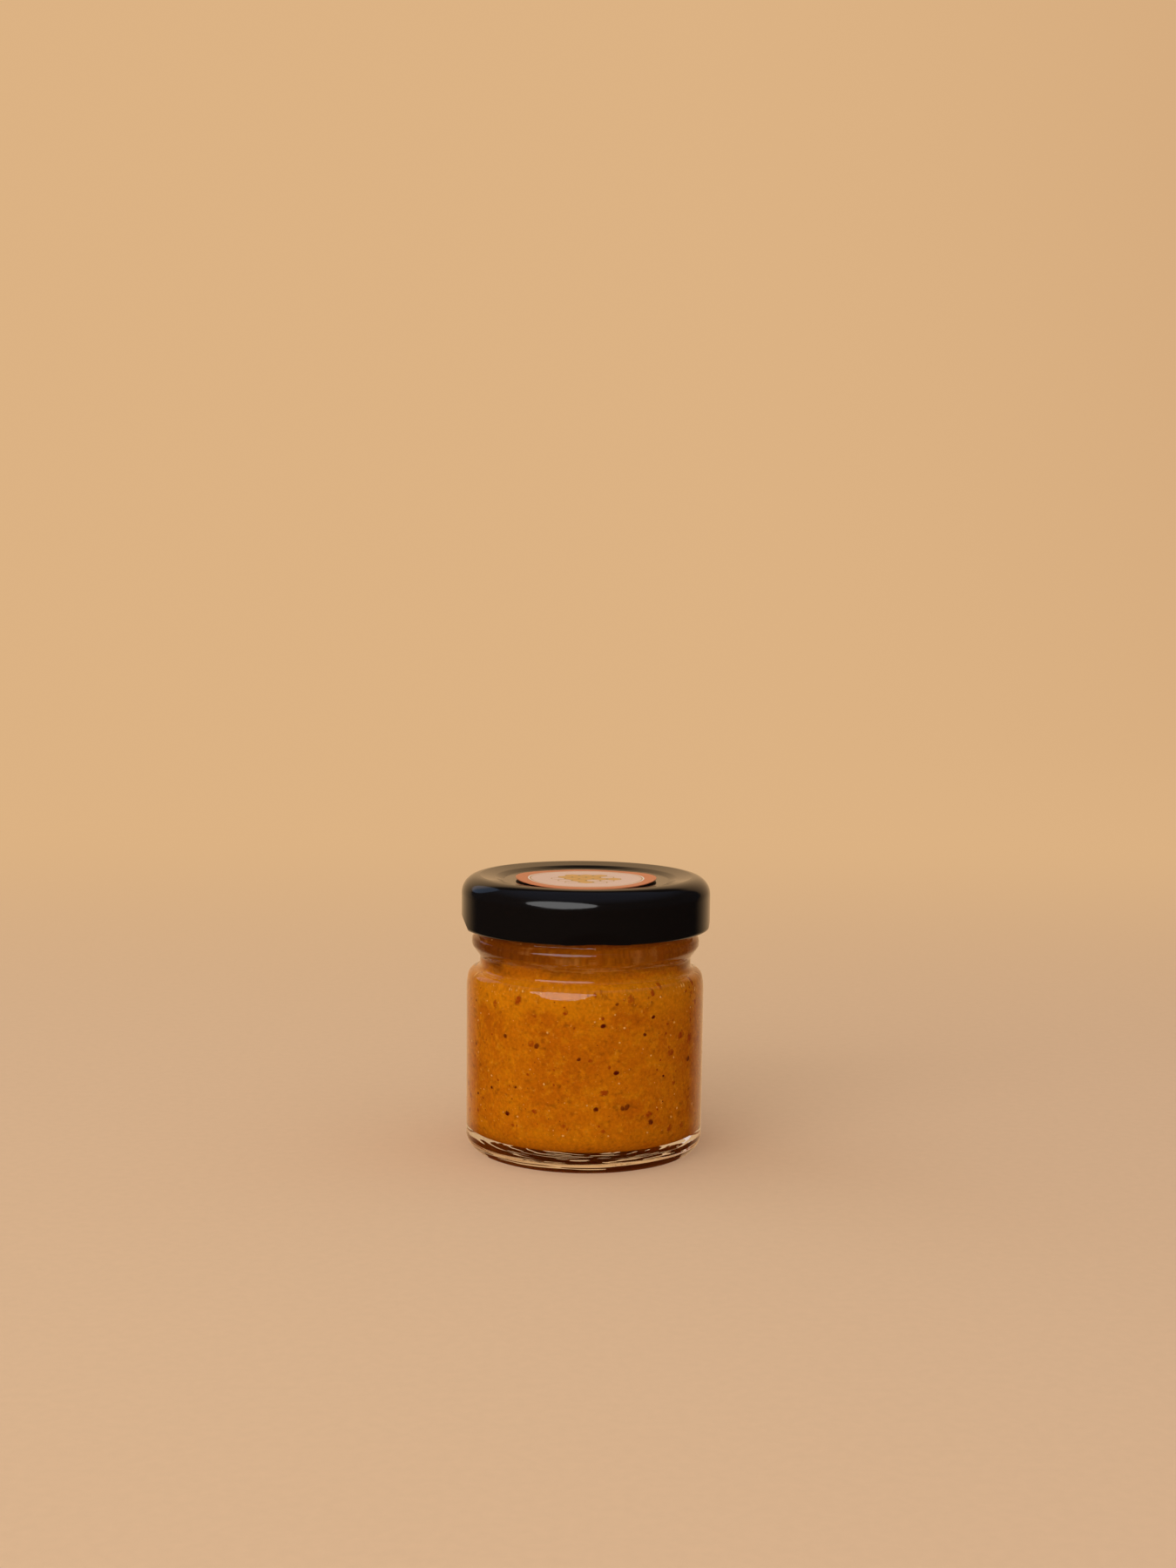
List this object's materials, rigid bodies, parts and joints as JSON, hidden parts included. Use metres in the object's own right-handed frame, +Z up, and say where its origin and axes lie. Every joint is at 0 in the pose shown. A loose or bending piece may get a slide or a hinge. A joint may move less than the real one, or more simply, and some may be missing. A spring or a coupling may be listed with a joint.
{
  "type": "jar of creamed honey",
  "caption": "Small round clear glass jar filled with creamed honey, shut by a black twist-off lid with a round paper sticker.",
  "frame": {"origin": "centre of the jar's foot, on the surface that it stands on", "axes": "+Z up along the jar's axis; the front, from which the sticker reads upright, is on the -Y side"},
  "size_m": [0.046, 0.046, 0.0512],
  "materials": {
    "glass": "clear gloss",
    "honey": "grainy set honey",
    "lid_enamel": "gloss black enamel on tinplate",
    "label_paper": "satin printed paper"
  },
  "bodies": {
    "root": {"glass_jar": "glass", "honey": "honey", "lid": "lid_enamel", "lid_label": "label_paper"}
  },
  "joints": []
}
